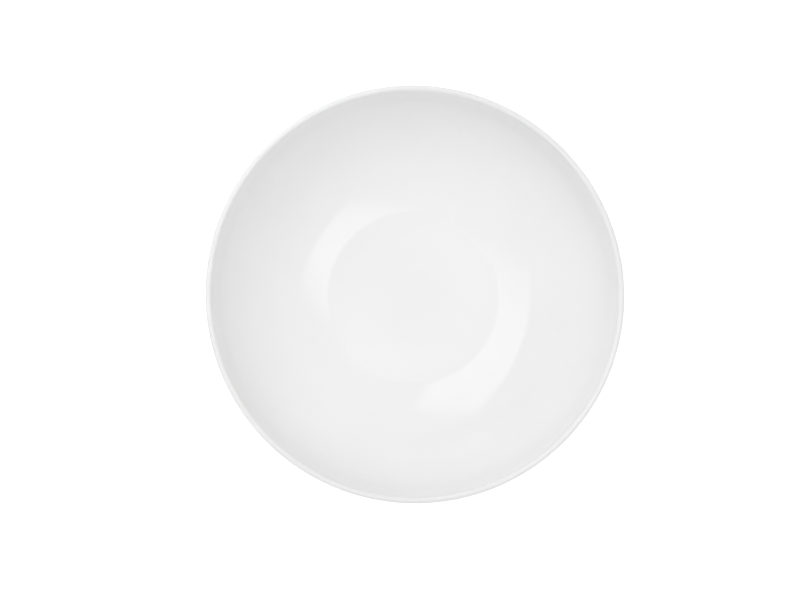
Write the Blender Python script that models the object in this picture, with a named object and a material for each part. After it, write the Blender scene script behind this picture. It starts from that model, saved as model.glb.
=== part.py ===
"""A round white porcelain bowl: a turned body on a foot ring, and the two coats of glaze fired onto it.

Lengths are in metres and angles in degrees. The bowl stands on z = 0 with its axis on +Z.
"""

import math

import bmesh
import bpy
from mathutils import Vector

# Driving sizes of the whole bowl
RIM_DIAMETER = 0.200        # across the lip, over the glaze
HEIGHT = 0.072              # from the table to the top of the lip, over the glaze

# Driving sizes of the fired body
WELL_DIAMETER = 0.086       # of the flat floor, to where the wall would meet it without the bend
WELL_BEND_RADIUS = 0.007    # of the bend between the floor and the wall
WALL_START_SLOPE = 15.0     # of the inside wall where it leaves the floor
WALL_THICKNESS = 0.0044     # of the wall where it leaves the floor
RIM_BAND_LENGTH = 0.012     # of the straight wall below the lip, along its slope
LIP_THICKNESS = 0.0023      # of that straight wall and the lip, which is rounded over its whole thickness
BASE_THICKNESS = 0.0046     # between the floor and the underside
FOOT_SET_OUT = 0.0025       # of the outer edge of the foot ring beyond the edge of the well
FOOT_WIDTH = 0.0048         # of the foot ring at the table, to its edges before they are rounded
FOOT_RECESS = 0.0045        # from the table up to the underside within the foot ring
FOOT_DRAFT = 8.0            # lean of the two sides of the foot ring
FOOT_EDGE_RADIUS = 0.0012   # of the two edges of the standing face
FOOT_FILLET_RADIUS = 0.0024  # between the outer side of the foot ring and the wall
RECESS_FILLET_RADIUS = 0.0015  # between the inner side of the foot ring and the underside

# Driving size of the glaze, which leaves the standing face and its rounded edges bare
GLAZE_THICKNESS = 0.0003

# Facets
SEGMENTS = 64
WALL_STEPS = 8
LIP_STEPS = 6
BEND_STEPS = 3
FILLET_STEPS = 3
EDGE_STEPS = 2
WELD_DISTANCE = 1e-6
SHARP_ANGLE = math.radians(50)


def toward(slope):
    """The direction from the centre of a bowl-shaped arc to its point that rises at this slope."""
    angle = math.radians(slope)
    return Vector((math.sin(angle), -math.cos(angle)))


def slope_of(direction):
    return math.degrees(math.atan2(direction.x, -direction.y))


def arc(centre, radius, first, last, steps):
    slopes = [first + (last - first) * step / steps for step in range(steps + 1)]
    return [centre + radius * toward(slope) for slope in slopes]


def meet_circle(start, direction, centre, radius, side):
    """The point where a line from start meets a circle, on its near side (-1) or far side (+1)."""
    offset = start - centre
    along = offset.dot(direction)
    reach = math.sqrt(along ** 2 - offset.dot(offset) + radius ** 2)
    return start + direction * (side * reach - along)


class Wall:
    """The wall in section: its two arcs, and the straight band and the round lip above them."""

    def __init__(self):
        self.floor = FOOT_RECESS + BASE_THICKNESS
        self.lip_radius = LIP_THICKNESS / 2
        inset = GLAZE_THICKNESS + self.lip_radius
        self.lip_centre = Vector((RIM_DIAMETER / 2 - inset, HEIGHT - inset))
        self.set_inside()
        self.set_outside()

    def set_inside(self):
        """The arc leaves the well at its start slope and runs into the band that touches the lip."""
        corner = Vector((WELL_DIAMETER / 2, self.floor))
        across = self.lip_centre - corner
        rise = -toward(WALL_START_SLOPE)
        self.inside_radius = (across.dot(across) - self.lip_radius ** 2 - RIM_BAND_LENGTH ** 2) / (
            2 * (across.dot(rise) + self.lip_radius)
        )
        self.inside_centre = corner + rise * self.inside_radius
        lead = math.degrees(math.atan2(RIM_BAND_LENGTH, self.inside_radius + self.lip_radius))
        self.band_slope = slope_of(self.lip_centre - self.inside_centre) - lead

    def set_outside(self):
        """The arc runs into the band from without and thickens the wall towards the well."""
        at_band = self.inside_radius + LIP_THICKNESS
        at_well = self.inside_radius + WALL_THICKNESS
        turn = math.radians(self.band_slope - WALL_START_SLOPE)
        shift = (at_band ** 2 - at_well ** 2) / (2 * (at_band - at_well * math.cos(turn)))
        self.outside_radius = at_band - shift
        self.outside_centre = self.inside_centre + shift * toward(self.band_slope)


def inside_profile(wall):
    """From the middle of the floor, through the bend, up to the straight band."""
    bend_height = Vector((0, wall.floor + WELL_BEND_RADIUS))
    reach = wall.inside_radius - WELL_BEND_RADIUS
    bend = meet_circle(bend_height, Vector((1, 0)), wall.inside_centre, reach, 1)
    start = slope_of(bend - wall.inside_centre)
    return (
        [Vector((0, wall.floor))]
        + arc(bend, WELL_BEND_RADIUS, 0, start, BEND_STEPS)
        + arc(wall.inside_centre, wall.inside_radius, start, wall.band_slope, WALL_STEPS)[1:]
    )


def lip_profile(wall):
    """Over the lip, between the two faces of the straight band."""
    return arc(wall.lip_centre, wall.lip_radius, wall.band_slope + 180, wall.band_slope, LIP_STEPS)


def outside_profile(wall):
    """From the straight band down the wall and the outer side of the foot ring, to the edge of the glaze."""
    side = Vector((math.sin(math.radians(FOOT_DRAFT)), math.cos(math.radians(FOOT_DRAFT))))
    outward = Vector((side.y, -side.x))
    foot = Vector((WELL_DIAMETER / 2 + FOOT_SET_OUT, 0)) + outward * FOOT_FILLET_RADIUS
    reach = wall.outside_radius + FOOT_FILLET_RADIUS
    fillet = meet_circle(foot, side, wall.outside_centre, reach, -1)
    end = slope_of(fillet - wall.outside_centre)
    return (
        arc(wall.outside_centre, wall.outside_radius, wall.band_slope, end, WALL_STEPS)
        + arc(fillet, FOOT_FILLET_RADIUS, end + 180, 270 - FOOT_DRAFT, FILLET_STEPS)[1:]
    )


def standing_profile():
    """Round the bottom of the foot ring, which stands on z = 0 and stays bare."""
    draft = math.radians(FOOT_DRAFT)
    inset = FOOT_EDGE_RADIUS * (1 - math.sin(draft)) / math.cos(draft)
    outer = WELL_DIAMETER / 2 + FOOT_SET_OUT - inset
    inner = WELL_DIAMETER / 2 + FOOT_SET_OUT - FOOT_WIDTH + inset
    turn = 90 - FOOT_DRAFT
    return (
        arc(Vector((outer, FOOT_EDGE_RADIUS)), FOOT_EDGE_RADIUS, turn, 0, EDGE_STEPS)
        + arc(Vector((inner, FOOT_EDGE_RADIUS)), FOOT_EDGE_RADIUS, 0, -turn, EDGE_STEPS)
    )


def underside_profile():
    """From the inner side of the foot ring to the middle of the underside."""
    draft = math.radians(FOOT_DRAFT)
    height = FOOT_RECESS - RECESS_FILLET_RADIUS
    foot = WELL_DIAMETER / 2 + FOOT_SET_OUT - FOOT_WIDTH
    radius = foot - (RECESS_FILLET_RADIUS + math.sin(draft) * height) / math.cos(draft)
    fillet = arc(Vector((radius, height)), RECESS_FILLET_RADIUS, 90 + FOOT_DRAFT, 180, FILLET_STEPS)
    return fillet + [Vector((0, FOOT_RECESS))]


def turned(name, profile):
    """An object whose mesh is the profile, given as radius and height, turned about the axis."""
    shape = bmesh.new()
    points = [shape.verts.new((point.x, 0, point.y)) for point in profile]
    lines = [shape.edges.new(pair) for pair in zip(points, points[1:])]
    bmesh.ops.spin(
        shape,
        geom=points + lines,
        cent=(0, 0, 0),
        axis=(0, 0, 1),
        angle=2 * math.pi,
        steps=SEGMENTS,
        use_merge=True,
    )
    bmesh.ops.remove_doubles(shape, verts=shape.verts, dist=WELD_DISTANCE)
    bmesh.ops.triangulate(shape, faces=shape.faces, quad_method="FIXED")
    mesh = bpy.data.meshes.new(name)
    shape.to_mesh(mesh)
    shape.free()
    mesh.shade_smooth()
    mesh.set_sharp_from_angle(angle=SHARP_ANGLE)
    piece = bpy.data.objects.new(name, mesh)
    bpy.context.scene.collection.objects.link(piece)
    return piece


def coated(name, profile):
    """A coat of glaze that lies on the skin with this profile."""
    coat = turned(name, profile)
    thickness = coat.modifiers.new("glaze_thickness", "SOLIDIFY")
    thickness.thickness = GLAZE_THICKNESS
    thickness.offset = 1
    thickness.use_even_offset = True
    return coat


def finish(piece, name, colour, roughness):
    material = bpy.data.materials.new(name)
    material.use_nodes = True
    shader = material.node_tree.nodes["Principled BSDF"]
    shader.inputs["Base Color"].default_value = (*colour, 1)
    shader.inputs["Roughness"].default_value = roughness
    shader.inputs["Metallic"].default_value = 0
    piece.data.materials.append(material)


def build():
    for leftover in list(bpy.data.objects):
        bpy.data.objects.remove(leftover)
    wall = Wall()
    glazed = inside_profile(wall) + lip_profile(wall) + outside_profile(wall)
    standing = standing_profile()
    underside = underside_profile()

    body = turned("porcelain_body", glazed + standing + underside)
    finish(body, "bare_porcelain", (0.80, 0.78, 0.74), 0.65)
    coat = coated("glaze_coat", glazed + standing[:1])
    finish(coat, "white_glaze", (0.86, 0.86, 0.86), 0.10)
    recess = coated("underside_glaze", standing[-1:] + underside)
    finish(recess, "underside_white_glaze", (0.86, 0.86, 0.86), 0.12)

    axis = bpy.data.objects.new("bowl_axis", None)
    bpy.context.scene.collection.objects.link(axis)
    for piece in (body, coat, recess):
        piece.parent = axis


build()
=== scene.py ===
"""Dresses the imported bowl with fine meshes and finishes, and sets up the camera and the studio light."""

import math

import bmesh
import bpy
from mathutils import Matrix, Vector


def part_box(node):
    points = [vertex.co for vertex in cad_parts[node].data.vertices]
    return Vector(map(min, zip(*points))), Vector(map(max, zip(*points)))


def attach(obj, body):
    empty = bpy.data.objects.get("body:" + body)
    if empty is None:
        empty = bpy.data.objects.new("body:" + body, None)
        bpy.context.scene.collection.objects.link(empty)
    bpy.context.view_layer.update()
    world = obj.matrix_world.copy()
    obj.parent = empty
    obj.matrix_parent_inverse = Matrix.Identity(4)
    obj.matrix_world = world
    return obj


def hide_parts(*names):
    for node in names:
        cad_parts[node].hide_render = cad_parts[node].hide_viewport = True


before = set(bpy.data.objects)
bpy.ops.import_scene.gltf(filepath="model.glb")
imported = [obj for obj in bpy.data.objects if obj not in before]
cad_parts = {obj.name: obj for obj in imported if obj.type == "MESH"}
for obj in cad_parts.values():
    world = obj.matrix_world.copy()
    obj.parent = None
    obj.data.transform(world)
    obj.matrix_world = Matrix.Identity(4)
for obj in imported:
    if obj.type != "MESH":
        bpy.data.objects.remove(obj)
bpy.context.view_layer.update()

# Sizes of the fired body and its glaze, in metres and degrees, as the solids have them
WELL_DIAMETER = 0.086
WELL_BEND_RADIUS = 0.007
WALL_START_SLOPE = 15.0
WALL_THICKNESS = 0.0044
RIM_BAND_LENGTH = 0.012
LIP_THICKNESS = 0.0023
BASE_THICKNESS = 0.0046
FOOT_SET_OUT = 0.0025
FOOT_WIDTH = 0.0048
FOOT_DRAFT = 8.0
FOOT_EDGE_RADIUS = 0.0012
FOOT_FILLET_RADIUS = 0.0024
RECESS_FILLET_RADIUS = 0.0015
GLAZE_THICKNESS = 0.0003

# Sizes read from the frame
RIM_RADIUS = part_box("glaze_coat")[1].x
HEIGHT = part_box("glaze_coat")[1].z
FOOT_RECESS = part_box("underside_glaze")[1].z
WELL_FLOOR = FOOT_RECESS + BASE_THICKNESS + GLAZE_THICKNESS

# Unevenness from turning and firing, in metres and degrees, with the wave's phase in radians
OVAL = 0.00030
OVAL_AXIS = 145.0
TRIPLE = 0.00014
TRIPLE_AXIS = -13.0
LIP_WAVE = 0.00015
LIP_WAVE_PHASE = 1.0
TURNING_RIPPLE = 0.000004
TURNING_PITCH = 0.0062

# Fineness of the meshes: steps along the visible and the hidden skins
SEGMENTS = 256
VISIBLE = {"floor": 10, "bend": 12, "wall": 48, "band": 10, "lip": 18, "fillet": 10, "edge": 8}
HIDDEN = {"floor": 2, "bend": 4, "wall": 14, "band": 3, "lip": 8, "fillet": 4, "edge": 8}
BEAD_STEPS = 6
WELD_DISTANCE = 1e-7

# Glaze: reflectances, and counts of its features per metre
GLAZE_IOR = 1.6
GLAZE_WHITES = (0.895, 0.905)
GLAZE_CLOUDS = 28.0
GLAZE_ROUGHNESS = (0.055, 0.075)
GLAZE_PATCHES = 70.0
GLAZE_RIPPLES = 260.0
GLAZE_RIPPLE_HEIGHT = 0.000004

# Painted shade: the lip darker between two depths below the rim, where the glaze also thins, and all glaze
# darker up to a height above the floor
GLAZE_LIP_THIN_AND_SHADE_WHITE = 0.855
GLAZE_LIP_DEPTHS = (0.0018, 0.0006)
GLAZE_FLOOR_SHADE_WHITE = 0.891
GLAZE_FLOOR_SHADE_HEIGHT = 0.0004

# Specks in the glaze: cells per metre, edges as shares of a cell, and the share of cells without a speck
SPECK_CELLS = 120.0
SPECK_EDGES = (0.012, 0.024)
SPECK_FREE = 0.6
SPECK_STRENGTH = 0.35
SPECK_WHITE = 0.60

# Bare porcelain: colours, counts of features per metre, and the height of its grain
CLAY_DARK = (0.79, 0.765, 0.72, 1)
CLAY_LIGHT = (0.85, 0.83, 0.79, 1)
CLAY_PATCHES = 420.0
CLAY_ROUGHNESS = (0.55, 0.78)
CLAY_GRAINS = 5200.0
CLAY_GRAIN_HEIGHT = 0.00003

# Rubs from standing, with the levels of noise at which one begins and is full, and marks of wiping
RUB_COLOUR = (0.60, 0.58, 0.56, 1)
RUB_PATCHES = 160.0
RUB_EDGES = (0.58, 0.74)
RUB_STRENGTH = 0.35
WIPE_PITCH = 0.0005
WIPE_STRENGTH = 0.4

# The part of a noise's range that most of its values lie in
NOISE_MIDDLE = (0.3, 0.7)

# The photograph's frame and where the bowl stands in it, in pixels
PHOTO_SIZE = Vector((800, 600))
RIM_CENTRE_PX = Vector((415.03, 293.98))
RIM_RADIUS_PX = 210.54
FLOOR_SHIFT_PX = Vector((-2.25, 3.6))
LENS_MM = 100.0
SENSOR_MM = 36.0

# Directions of light are in degrees: azimuths round from +X, and zeniths from straight up
HORIZON_ZENITH = 90.0

# Sky light: radiances, and levels by the sine of the elevation
SKY_RING_LEVELS = {0.20: 0.0, 0.35: 1.0, 0.50: 0.0}
SKY_RING_DIM = 0.14
SKY_RING_BRIGHT = 3.05
SKY_RING_AZIMUTH = 133.6
SKY_FLANKS = 0.82
SKY_FLANKS_AZIMUTH = 43.7
SKY_LOW_LEVELS = {0.0: 1.0, 0.12: 1.0, 0.25: 0.0}
SKY_LOW = 0.75
SKY_TOP = 1.54
SKY_TOP_EDGE = 0.65
SKY_TOP_AZIMUTH = 317.5
SKY_TOP_ZENITH = 15.5

# Light panels: sizes in metres, and levels from one end of a panel to the other
PANEL_DISTANCE = 1.1
PANELS = {
    "key_panel": {
        "azimuth": 162.0,
        "zenith": 33.8,
        "width": 1.9,
        "height": 0.80,
        "slide": -0.30,
        "roll": 6.0,
        "levels": {0.0: 0.0, 0.08: 0.62, 0.52: 1.0, 0.70: 0.76, 0.88: 0.38, 1.0: 0.0},
        "radiance": 1.425,
    },
    "fill_panel": {
        "azimuth": 329.5,
        "zenith": 30.4,
        "width": 1.05,
        "height": 0.67,
        "slide": 0.0,
        "roll": 0.0,
        "levels": {0.0: 0.0, 0.25: 0.8, 0.5: 1.0, 0.75: 0.8, 1.0: 0.0},
        "radiance": 1.165,
    },
}

# The floor: its size in metres, its reflectance, and what it adds of its own where it is seen directly
FLOOR_SIZE = 12.0
FLOOR_WHITE = 0.85
FLOOR_ROUGHNESS = 0.9
FLOOR_GLOW = 0.38


def toward(slope):
    """The direction from the centre of a bowl-shaped arc to its point that rises at this slope."""
    angle = math.radians(slope)
    return Vector((math.sin(angle), -math.cos(angle)))


def slope_of(direction):
    return math.degrees(math.atan2(direction.x, -direction.y))


def arc(centre, radius, first, last, steps):
    slopes = [first + (last - first) * step / steps for step in range(steps + 1)]
    return [centre + radius * toward(slope) for slope in slopes]


def between(first, last, steps):
    return [first.lerp(last, step / steps) for step in range(1, steps)]


def meet_circle(start, direction, centre, radius, side):
    """The point where a line from start meets a circle, on its near side (-1) or far side (+1)."""
    offset = start - centre
    along = offset.dot(direction)
    reach = math.sqrt(along ** 2 - offset.dot(offset) + radius ** 2)
    return start + direction * (side * reach - along)


class Wall:
    """The fired wall in section: its two arcs, and the straight band and the round lip above them."""

    def __init__(self):
        self.floor = FOOT_RECESS + BASE_THICKNESS
        self.lip_radius = LIP_THICKNESS / 2
        inset = GLAZE_THICKNESS + self.lip_radius
        self.lip_centre = Vector((RIM_RADIUS - inset, HEIGHT - inset))
        self.set_inside()
        self.set_outside()

    def set_inside(self):
        """The arc leaves the well at its start slope and runs into the band that touches the lip."""
        corner = Vector((WELL_DIAMETER / 2, self.floor))
        across = self.lip_centre - corner
        rise = -toward(WALL_START_SLOPE)
        self.inside_radius = (across.dot(across) - self.lip_radius ** 2 - RIM_BAND_LENGTH ** 2) / (
            2 * (across.dot(rise) + self.lip_radius)
        )
        self.inside_centre = corner + rise * self.inside_radius
        lead = math.degrees(math.atan2(RIM_BAND_LENGTH, self.inside_radius + self.lip_radius))
        self.band_slope = slope_of(self.lip_centre - self.inside_centre) - lead

    def set_outside(self):
        """The arc runs into the band from without and thickens the wall towards the well."""
        at_band = self.inside_radius + LIP_THICKNESS
        at_well = self.inside_radius + WALL_THICKNESS
        turn = math.radians(self.band_slope - WALL_START_SLOPE)
        shift = (at_band ** 2 - at_well ** 2) / (2 * (at_band - at_well * math.cos(turn)))
        self.outside_radius = at_band - shift
        self.outside_centre = self.inside_centre + shift * toward(self.band_slope)


def inside_skin(wall, lift, steps):
    """From the middle of the floor to the top of the inner arc, lifted off the fired body."""
    bend_height = Vector((0, wall.floor + WELL_BEND_RADIUS))
    reach = wall.inside_radius - WELL_BEND_RADIUS
    bend = meet_circle(bend_height, Vector((1, 0)), wall.inside_centre, reach, 1)
    start = slope_of(bend - wall.inside_centre)
    middle = Vector((0, wall.floor + lift))
    edge = Vector((bend.x, wall.floor + lift))
    return (
        [middle]
        + between(middle, edge, steps["floor"])
        + arc(bend, WELL_BEND_RADIUS - lift, 0, start, steps["bend"])
        + arc(wall.inside_centre, wall.inside_radius - lift, start, wall.band_slope, steps["wall"])[1:]
    )


def outside_skin(wall, lift, steps):
    """From the top of the outer arc to the edge of the glaze on the foot, lifted off the fired body."""
    draft = math.radians(FOOT_DRAFT)
    side = Vector((math.sin(draft), math.cos(draft)))
    outward = Vector((side.y, -side.x))
    foot = Vector((WELL_DIAMETER / 2 + FOOT_SET_OUT, 0))
    reach = wall.outside_radius + FOOT_FILLET_RADIUS
    fillet = meet_circle(foot + outward * FOOT_FILLET_RADIUS, side, wall.outside_centre, reach, -1)
    end = slope_of(fillet - wall.outside_centre)
    return (
        arc(wall.outside_centre, wall.outside_radius + lift, wall.band_slope, end, steps["wall"])
        + arc(fillet, FOOT_FILLET_RADIUS - lift, end + 180, 270 - FOOT_DRAFT, steps["fillet"])[1:]
        + [standing_edge(steps)[0] + outward * lift]
    )


def glazed_skin(wall, lift, steps):
    """The whole skin under the first coat of glaze: up the inside, over the lip and down the outside."""
    inside = inside_skin(wall, lift, steps)
    slope = wall.band_slope
    lip = arc(wall.lip_centre, wall.lip_radius + lift, slope + 180, slope, steps["lip"])
    outside = outside_skin(wall, lift, steps)
    return (
        inside
        + between(inside[-1], lip[0], steps["band"])
        + lip
        + between(lip[-1], outside[0], steps["band"])
        + outside
    )


def standing_edge(steps):
    """Round the bare bottom of the foot ring, from the outer edge of the glaze to the inner one."""
    draft = math.radians(FOOT_DRAFT)
    inset = FOOT_EDGE_RADIUS * (1 - math.sin(draft)) / math.cos(draft)
    outer = WELL_DIAMETER / 2 + FOOT_SET_OUT - inset
    inner = WELL_DIAMETER / 2 + FOOT_SET_OUT - FOOT_WIDTH + inset
    turn = 90 - FOOT_DRAFT
    return (
        arc(Vector((outer, FOOT_EDGE_RADIUS)), FOOT_EDGE_RADIUS, turn, 0, steps["edge"])
        + arc(Vector((inner, FOOT_EDGE_RADIUS)), FOOT_EDGE_RADIUS, 0, -turn, steps["edge"])
    )


def recess_skin(lift, steps):
    """From the edge of the glaze on the inner side of the foot to the middle of the underside."""
    draft = math.radians(FOOT_DRAFT)
    height = FOOT_RECESS - RECESS_FILLET_RADIUS
    foot = WELL_DIAMETER / 2 + FOOT_SET_OUT - FOOT_WIDTH
    radius = foot - (RECESS_FILLET_RADIUS + math.sin(draft) * height) / math.cos(draft)
    inward = Vector((-math.cos(draft), -math.sin(draft)))
    middle = Vector((0, FOOT_RECESS - lift))
    centre = Vector((radius, height))
    fillet = arc(centre, RECESS_FILLET_RADIUS - lift, 90 + FOOT_DRAFT, 180, steps["fillet"])
    return (
        [standing_edge(steps)[-1] + inward * lift]
        + fillet
        + between(fillet[-1], middle, steps["floor"])
        + [middle]
    )


def bead(first, last):
    """The rounded edge where a coat of glaze ends, between its two faces."""
    middle = (first + last) / 2
    across = first - middle
    down = across.orthogonal()
    if down.y > 0:
        down = -down
    turns = [math.pi * step / BEAD_STEPS for step in range(1, BEAD_STEPS)]
    return [middle + across * math.cos(turn) + down * math.sin(turn) for turn in turns]


def settled(point):
    """Where a point of the ideal bowl lies after turning and firing."""
    radius = math.hypot(point.x, point.y)
    angle = math.atan2(point.y, point.x)
    share = (point.z / HEIGHT) ** 2
    oval = OVAL * (math.cos(2 * (angle - math.radians(OVAL_AXIS))) - 1)
    triple = TRIPLE * (math.cos(3 * (angle - math.radians(TRIPLE_AXIS))) - 1)
    rise = math.hypot(radius - WELL_DIAMETER / 2, point.z)
    ripple = TURNING_RIPPLE * math.cos(2 * math.pi * rise / TURNING_PITCH)
    stretch = 1 + share * (oval + triple + ripple) / RIM_RADIUS
    drop = share * LIP_WAVE * (1 + math.cos(2 * angle + LIP_WAVE_PHASE)) / 2
    return Vector((point.x * stretch, point.y * stretch, point.z - drop))


def turned(name, section):
    """A closed piece: the section, which starts and ends on the axis, turned about it."""
    shape = bmesh.new()
    points = [shape.verts.new((point.x, 0, point.y)) for point in section]
    lines = [shape.edges.new(pair) for pair in zip(points, points[1:])]
    bmesh.ops.spin(
        shape,
        geom=points + lines,
        cent=(0, 0, 0),
        axis=(0, 0, 1),
        angle=2 * math.pi,
        steps=SEGMENTS,
        use_merge=True,
    )
    bmesh.ops.remove_doubles(shape, verts=shape.verts, dist=WELD_DISTANCE)
    for vertex in shape.verts:
        vertex.co = settled(vertex.co)
    mesh = bpy.data.meshes.new(name)
    shape.to_mesh(mesh)
    shape.free()
    mesh.shade_smooth()
    piece = bpy.data.objects.new(name, mesh)
    bpy.context.scene.collection.objects.link(piece)
    return piece


def make_coat(wall):
    outer = glazed_skin(wall, GLAZE_THICKNESS, VISIBLE)
    inner = glazed_skin(wall, 0, HIDDEN)
    return turned("white_glaze_coat", outer + bead(outer[-1], inner[-1]) + inner[::-1])


def make_recess_coat():
    outer = recess_skin(GLAZE_THICKNESS, VISIBLE)
    inner = recess_skin(0, HIDDEN)
    return turned("white_glaze_underside", inner[::-1] + bead(inner[0], outer[0]) + outer)


def make_body(wall):
    section = glazed_skin(wall, 0, HIDDEN)[:-1] + standing_edge(HIDDEN) + recess_skin(0, HIDDEN)[1:]
    return turned("fired_porcelain_body", section)


def grey(level):
    return (level, level, level, 1)


class Nodes:
    """Builds up a node tree. A source is a socket to link to or a value to set."""

    def __init__(self, tree):
        self.tree = tree

    def node(self, kind, sources=None, **values):
        made = self.tree.nodes.new(kind)
        for name, value in values.items():
            setattr(made, name, value)
        for socket, source in (sources or {}).items():
            self.feed(made.inputs[socket], source)
        return made

    def feed(self, socket, source):
        if isinstance(source, bpy.types.NodeSocket):
            self.tree.links.new(source, socket)
        else:
            socket.default_value = source

    def combine(self, operation, first, second):
        return self.node("ShaderNodeMath", {0: first, 1: second}, operation=operation).outputs["Value"]

    def part(self, source, axis):
        """One part of a vector."""
        return self.node("ShaderNodeSeparateXYZ", {"Vector": source}).outputs[axis]

    def spread(self, source, start, stop, low, high):
        """A number spread from one range onto another and held at its ends."""
        sources = {"Value": source, "From Min": start, "From Max": stop, "To Min": low, "To Max": high}
        return self.node("ShaderNodeMapRange", sources).outputs["Result"]

    def stepped(self, source, levels):
        """A number looked up in a row of levels by place, with straight lines between them."""
        ramp = self.node("ShaderNodeValToRGB", {"Fac": source})
        stops = ramp.color_ramp.elements
        while len(stops) < len(levels):
            stops.new(1.0)
        for stop, (place, level) in zip(stops, levels.items()):
            stop.position = place
            stop.color = grey(level)
        return ramp.outputs["Color"]

    def along(self, way, azimuth, zenith):
        """How far a direction agrees with another one, as the cosine of the angle between them."""
        turn = math.radians(azimuth)
        lean = math.radians(zenith)
        other = (math.sin(lean) * math.cos(turn), math.sin(lean) * math.sin(turn), math.cos(lean))
        agree = self.node("ShaderNodeVectorMath", {0: way, 1: other}, operation="DOT_PRODUCT")
        return agree.outputs["Value"]

    def shown_directly(self):
        """1 for rays that picture the surroundings: from the camera, a gloss or a clear surface."""
        rays = self.node("ShaderNodeLightPath").outputs
        mirrored = self.combine("MAXIMUM", rays["Is Glossy Ray"], rays["Is Transmission Ray"])
        return self.combine("MAXIMUM", rays["Is Camera Ray"], mirrored)


class Finish(Nodes):
    """A material of the bowl, with one Principled shader and patterns that lie fixed in the bowl."""

    def __init__(self, name):
        self.material = bpy.data.materials.new(name)
        self.material.use_nodes = True
        super().__init__(self.material.node_tree)
        self.inputs = self.tree.nodes["Principled BSDF"].inputs
        self.place = self.node("ShaderNodeTexCoord").outputs["Object"]

    def noise(self, scale, detail=2.0):
        sources = {"Vector": self.place, "Scale": scale, "Detail": detail}
        return self.node("ShaderNodeTexNoise", sources).outputs["Fac"]

    def blend(self, share, first, second):
        """A mix of two colours, whose sockets go by number because several share their names."""
        sources = {"Factor": share, 6: first, 7: second}
        return self.node("ShaderNodeMix", sources, data_type="RGBA").outputs[2]

    def bump(self, height, distance):
        sources = {"Height": height, "Distance": distance, "Strength": 1.0}
        return self.node("ShaderNodeBump", sources).outputs["Normal"]


def glaze_specks(glaze):
    """How far a speck shows: in the middle of some of the cells that the glaze is divided into."""
    cells = glaze.node("ShaderNodeTexVoronoi", {"Vector": glaze.place, "Scale": SPECK_CELLS}).outputs
    near = glaze.spread(cells["Distance"], *SPECK_EDGES, 1.0, 0.0)
    chance = glaze.node("ShaderNodeSeparateColor", {"Color": cells["Color"]}).outputs["Red"]
    chosen = glaze.combine("GREATER_THAN", chance, SPECK_FREE)
    return glaze.combine("MULTIPLY", glaze.combine("MULTIPLY", near, chosen), SPECK_STRENGTH)


def glaze_finish():
    """Opaque white glaze: faintly clouded, thin and darkened as painted shade on the lip, darkened as
    painted shade on the floor and below it, specked and rippled.
    """
    glaze = Finish("white_glaze")
    cloud = glaze.spread(glaze.noise(GLAZE_CLOUDS), *NOISE_MIDDLE, 0.0, 1.0)
    white = glaze.blend(cloud, *map(grey, GLAZE_WHITES))
    height = glaze.part(glaze.place, "Z")
    # Painted shade on the lip, where the glaze also thins: the top of the bowl, inside and out, turns
    # darker
    lip_heights = [HEIGHT - depth for depth in GLAZE_LIP_DEPTHS]
    lip = glaze.spread(height, *lip_heights, 0.0, 1.0)
    thinned_and_shaded = glaze.blend(lip, white, grey(GLAZE_LIP_THIN_AND_SHADE_WHITE))
    # Painted shade: the glaze on the floor of the well, and all glaze lower down, is made a little darker
    well = glaze.spread(height, WELL_FLOOR, WELL_FLOOR + GLAZE_FLOOR_SHADE_HEIGHT, 1.0, 0.0)
    floor_shaded = glaze.blend(well, thinned_and_shaded, grey(GLAZE_FLOOR_SHADE_WHITE))
    specked = glaze.blend(glaze_specks(glaze), floor_shaded, grey(SPECK_WHITE))
    glaze.feed(glaze.inputs["Base Color"], specked)
    patches = glaze.spread(glaze.noise(GLAZE_PATCHES), *NOISE_MIDDLE, *GLAZE_ROUGHNESS)
    glaze.feed(glaze.inputs["Roughness"], patches)
    glaze.inputs["IOR"].default_value = GLAZE_IOR
    ripples = glaze.bump(glaze.noise(GLAZE_RIPPLES, detail=1.0), GLAZE_RIPPLE_HEIGHT)
    glaze.feed(glaze.inputs["Normal"], ripples)
    return glaze.material


def bare_finish():
    """Unglazed porcelain: warm, matt and grained, with rings from wiping and rubs from standing."""
    bare = Finish("bare_porcelain")
    tone = bare.spread(bare.noise(CLAY_PATCHES, detail=4.0), *NOISE_MIDDLE, 0.0, 1.0)
    clay = bare.blend(tone, CLAY_DARK, CLAY_LIGHT)
    rub = bare.spread(bare.noise(RUB_PATCHES, detail=5.0), *RUB_EDGES, 0.0, RUB_STRENGTH)
    bare.feed(bare.inputs["Base Color"], bare.blend(rub, clay, RUB_COLOUR))
    grain = bare.noise(CLAY_GRAINS, detail=3.0)
    bare.feed(bare.inputs["Roughness"], bare.spread(grain, *NOISE_MIDDLE, *CLAY_ROUGHNESS))
    radius = bare.node("ShaderNodeVectorMath", {0: bare.place}, operation="LENGTH").outputs["Value"]
    turns = bare.combine("MULTIPLY", radius, 2 * math.pi / WIPE_PITCH)
    rings = bare.node("ShaderNodeMath", {0: turns}, operation="SINE").outputs["Value"]
    height = bare.combine("ADD", grain, bare.combine("MULTIPLY", rings, WIPE_STRENGTH))
    bare.feed(bare.inputs["Normal"], bare.bump(height, CLAY_GRAIN_HEIGHT))
    return bare.material


def dress(piece, node, material):
    piece.data.materials.append(material)
    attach(piece, "root")
    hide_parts(node)


def make_bowl():
    wall = Wall()
    glaze = glaze_finish()
    dress(make_coat(wall), "glaze_coat", glaze)
    dress(make_recess_coat(), "underside_glaze", glaze)
    dress(make_body(wall), "porcelain_body", bare_finish())


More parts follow.
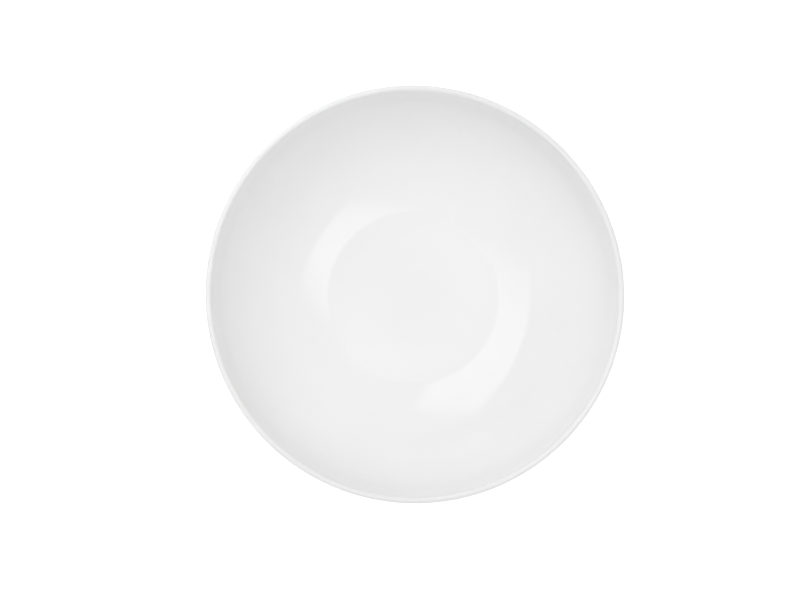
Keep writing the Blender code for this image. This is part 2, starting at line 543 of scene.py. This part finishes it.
def make_camera():
    """Looks down into the bowl so that the rim and the floor lie where the photograph has them."""
    metres_per_px = RIM_RADIUS / RIM_RADIUS_PX
    above_rim = metres_per_px * PHOTO_SIZE.x * LENS_MM / SENSOR_MM
    depth = HEIGHT - WELL_FLOOR
    aside = FLOOR_SHIFT_PX * metres_per_px * (above_rim + depth) / depth
    place = Vector((aside.x, -aside.y, HEIGHT + above_rim))
    middle = (PHOTO_SIZE / 2 - RIM_CENTRE_PX) * metres_per_px
    target = Vector((middle.x, -middle.y, HEIGHT))
    back = (place - target).normalized()
    right = Vector((0, 1, 0)).cross(back).normalized()
    up = back.cross(right)
    lens = bpy.data.cameras.new("camera")
    lens.lens = LENS_MM
    lens.sensor_width = SENSOR_MM
    camera = bpy.data.objects.new("camera", lens)
    camera.matrix_world = Matrix.Translation(place) @ Matrix((right, up, back)).transposed().to_4x4()
    bpy.context.scene.collection.objects.link(camera)
    bpy.context.scene.camera = camera


def sky_strength(sky):
    """Light from overhead, from a ring of lit walls, and a little from low down between its flanks.

    The ring is brighter on one side and on its two flanks.
    """
    way = sky.node("ShaderNodeTexCoord").outputs["Generated"]
    height = sky.part(way, "Z")
    toward_side = sky.along(way, SKY_RING_AZIMUTH, HORIZON_ZENITH)
    side = sky.spread(toward_side, -1, 1, SKY_RING_DIM, SKY_RING_BRIGHT)
    across = sky.along(way, SKY_FLANKS_AZIMUTH, HORIZON_ZENITH)
    flank = sky.combine("MULTIPLY", across, across)
    flanks = sky.spread(flank, 0, 1, 0, SKY_FLANKS)
    walls = sky.combine("ADD", side, flanks)
    ring = sky.combine("MULTIPLY", sky.stepped(height, SKY_RING_LEVELS), walls)
    gaps = sky.spread(flank, 0, 1, SKY_LOW, 0)
    low = sky.combine("MULTIPLY", sky.stepped(height, SKY_LOW_LEVELS), gaps)
    top = sky.spread(sky.along(way, SKY_TOP_AZIMUTH, SKY_TOP_ZENITH), SKY_TOP_EDGE, 1, 0, SKY_TOP)
    return sky.combine("ADD", low, sky.combine("ADD", ring, top))


def make_sky():
    """Soft studio light in front of a white background."""
    world = bpy.data.worlds.new("studio")
    bpy.context.scene.world = world
    world.use_nodes = True
    sky = Nodes(world.node_tree)
    light = sky.tree.nodes["Background"]
    light.inputs["Color"].default_value = grey(1)
    sky.feed(light.inputs["Strength"], sky_strength(sky))
    white = sky.node("ShaderNodeBackground", {"Color": grey(1)})
    sources = {0: sky.shown_directly(), 1: light.outputs["Background"], 2: white.outputs["Background"]}
    mix = sky.node("ShaderNodeMixShader", sources)
    sky.feed(sky.tree.nodes["World Output"].inputs["Surface"], mix.outputs["Shader"])


def make_panel(name, azimuth, zenith, width, height, slide, roll, levels, radiance):
    """A wide light panel that faces the bowl, brighter and dimmer along its width."""
    lamp = bpy.data.lights.new(name, "AREA")
    lamp.shape = "RECTANGLE"
    lamp.size = width
    lamp.size_y = height
    lamp.energy = radiance * math.pi * width * height
    lamp.use_nodes = True
    light = Nodes(lamp.node_tree)
    across = light.part(light.node("ShaderNodeNewGeometry").outputs["Parametric"], "X")
    light.feed(light.tree.nodes["Emission"].inputs["Strength"], light.stepped(across, levels))
    panel = bpy.data.objects.new(name, lamp)
    panel.matrix_world = (
        Matrix.Translation((0, 0, HEIGHT / 2))
        @ Matrix.Rotation(math.radians(azimuth), 4, "Z")
        @ Matrix.Rotation(math.radians(zenith), 4, "Y")
        @ Matrix.Translation((0, slide, PANEL_DISTANCE))
        @ Matrix.Rotation(math.radians(90 + roll), 4, "Z")
    )
    bpy.context.scene.collection.objects.link(panel)


def floor_finish():
    """Matt white, seen as white where the light falls on it, so that the shadow still shows."""
    material = bpy.data.materials.new("studio_floor")
    material.use_nodes = True
    finish = Nodes(material.node_tree)
    inputs = finish.tree.nodes["Principled BSDF"].inputs
    inputs["Base Color"].default_value = grey(FLOOR_WHITE)
    inputs["Roughness"].default_value = FLOOR_ROUGHNESS
    inputs["Specular IOR Level"].default_value = 0.0
    inputs["Emission Color"].default_value = grey(1)
    glow = finish.spread(finish.shown_directly(), 0, 1, 0, FLOOR_GLOW)
    finish.feed(inputs["Emission Strength"], glow)
    return material


def make_floor():
    """A wide sheet that the bowl stands on, which belongs to the scene and not to the part."""
    shape = bmesh.new()
    bmesh.ops.create_grid(shape, x_segments=1, y_segments=1, size=FLOOR_SIZE / 2)
    mesh = bpy.data.meshes.new("studio_floor")
    shape.to_mesh(mesh)
    shape.free()
    mesh.materials.append(floor_finish())
    floor = bpy.data.objects.new("studio_floor", mesh)
    bpy.context.scene.collection.objects.link(floor)


make_bowl()
make_camera()
make_sky()
for panel_name, values in PANELS.items():
    make_panel(panel_name, **values)
make_floor()
bpy.context.scene.view_settings.view_transform = "Standard"
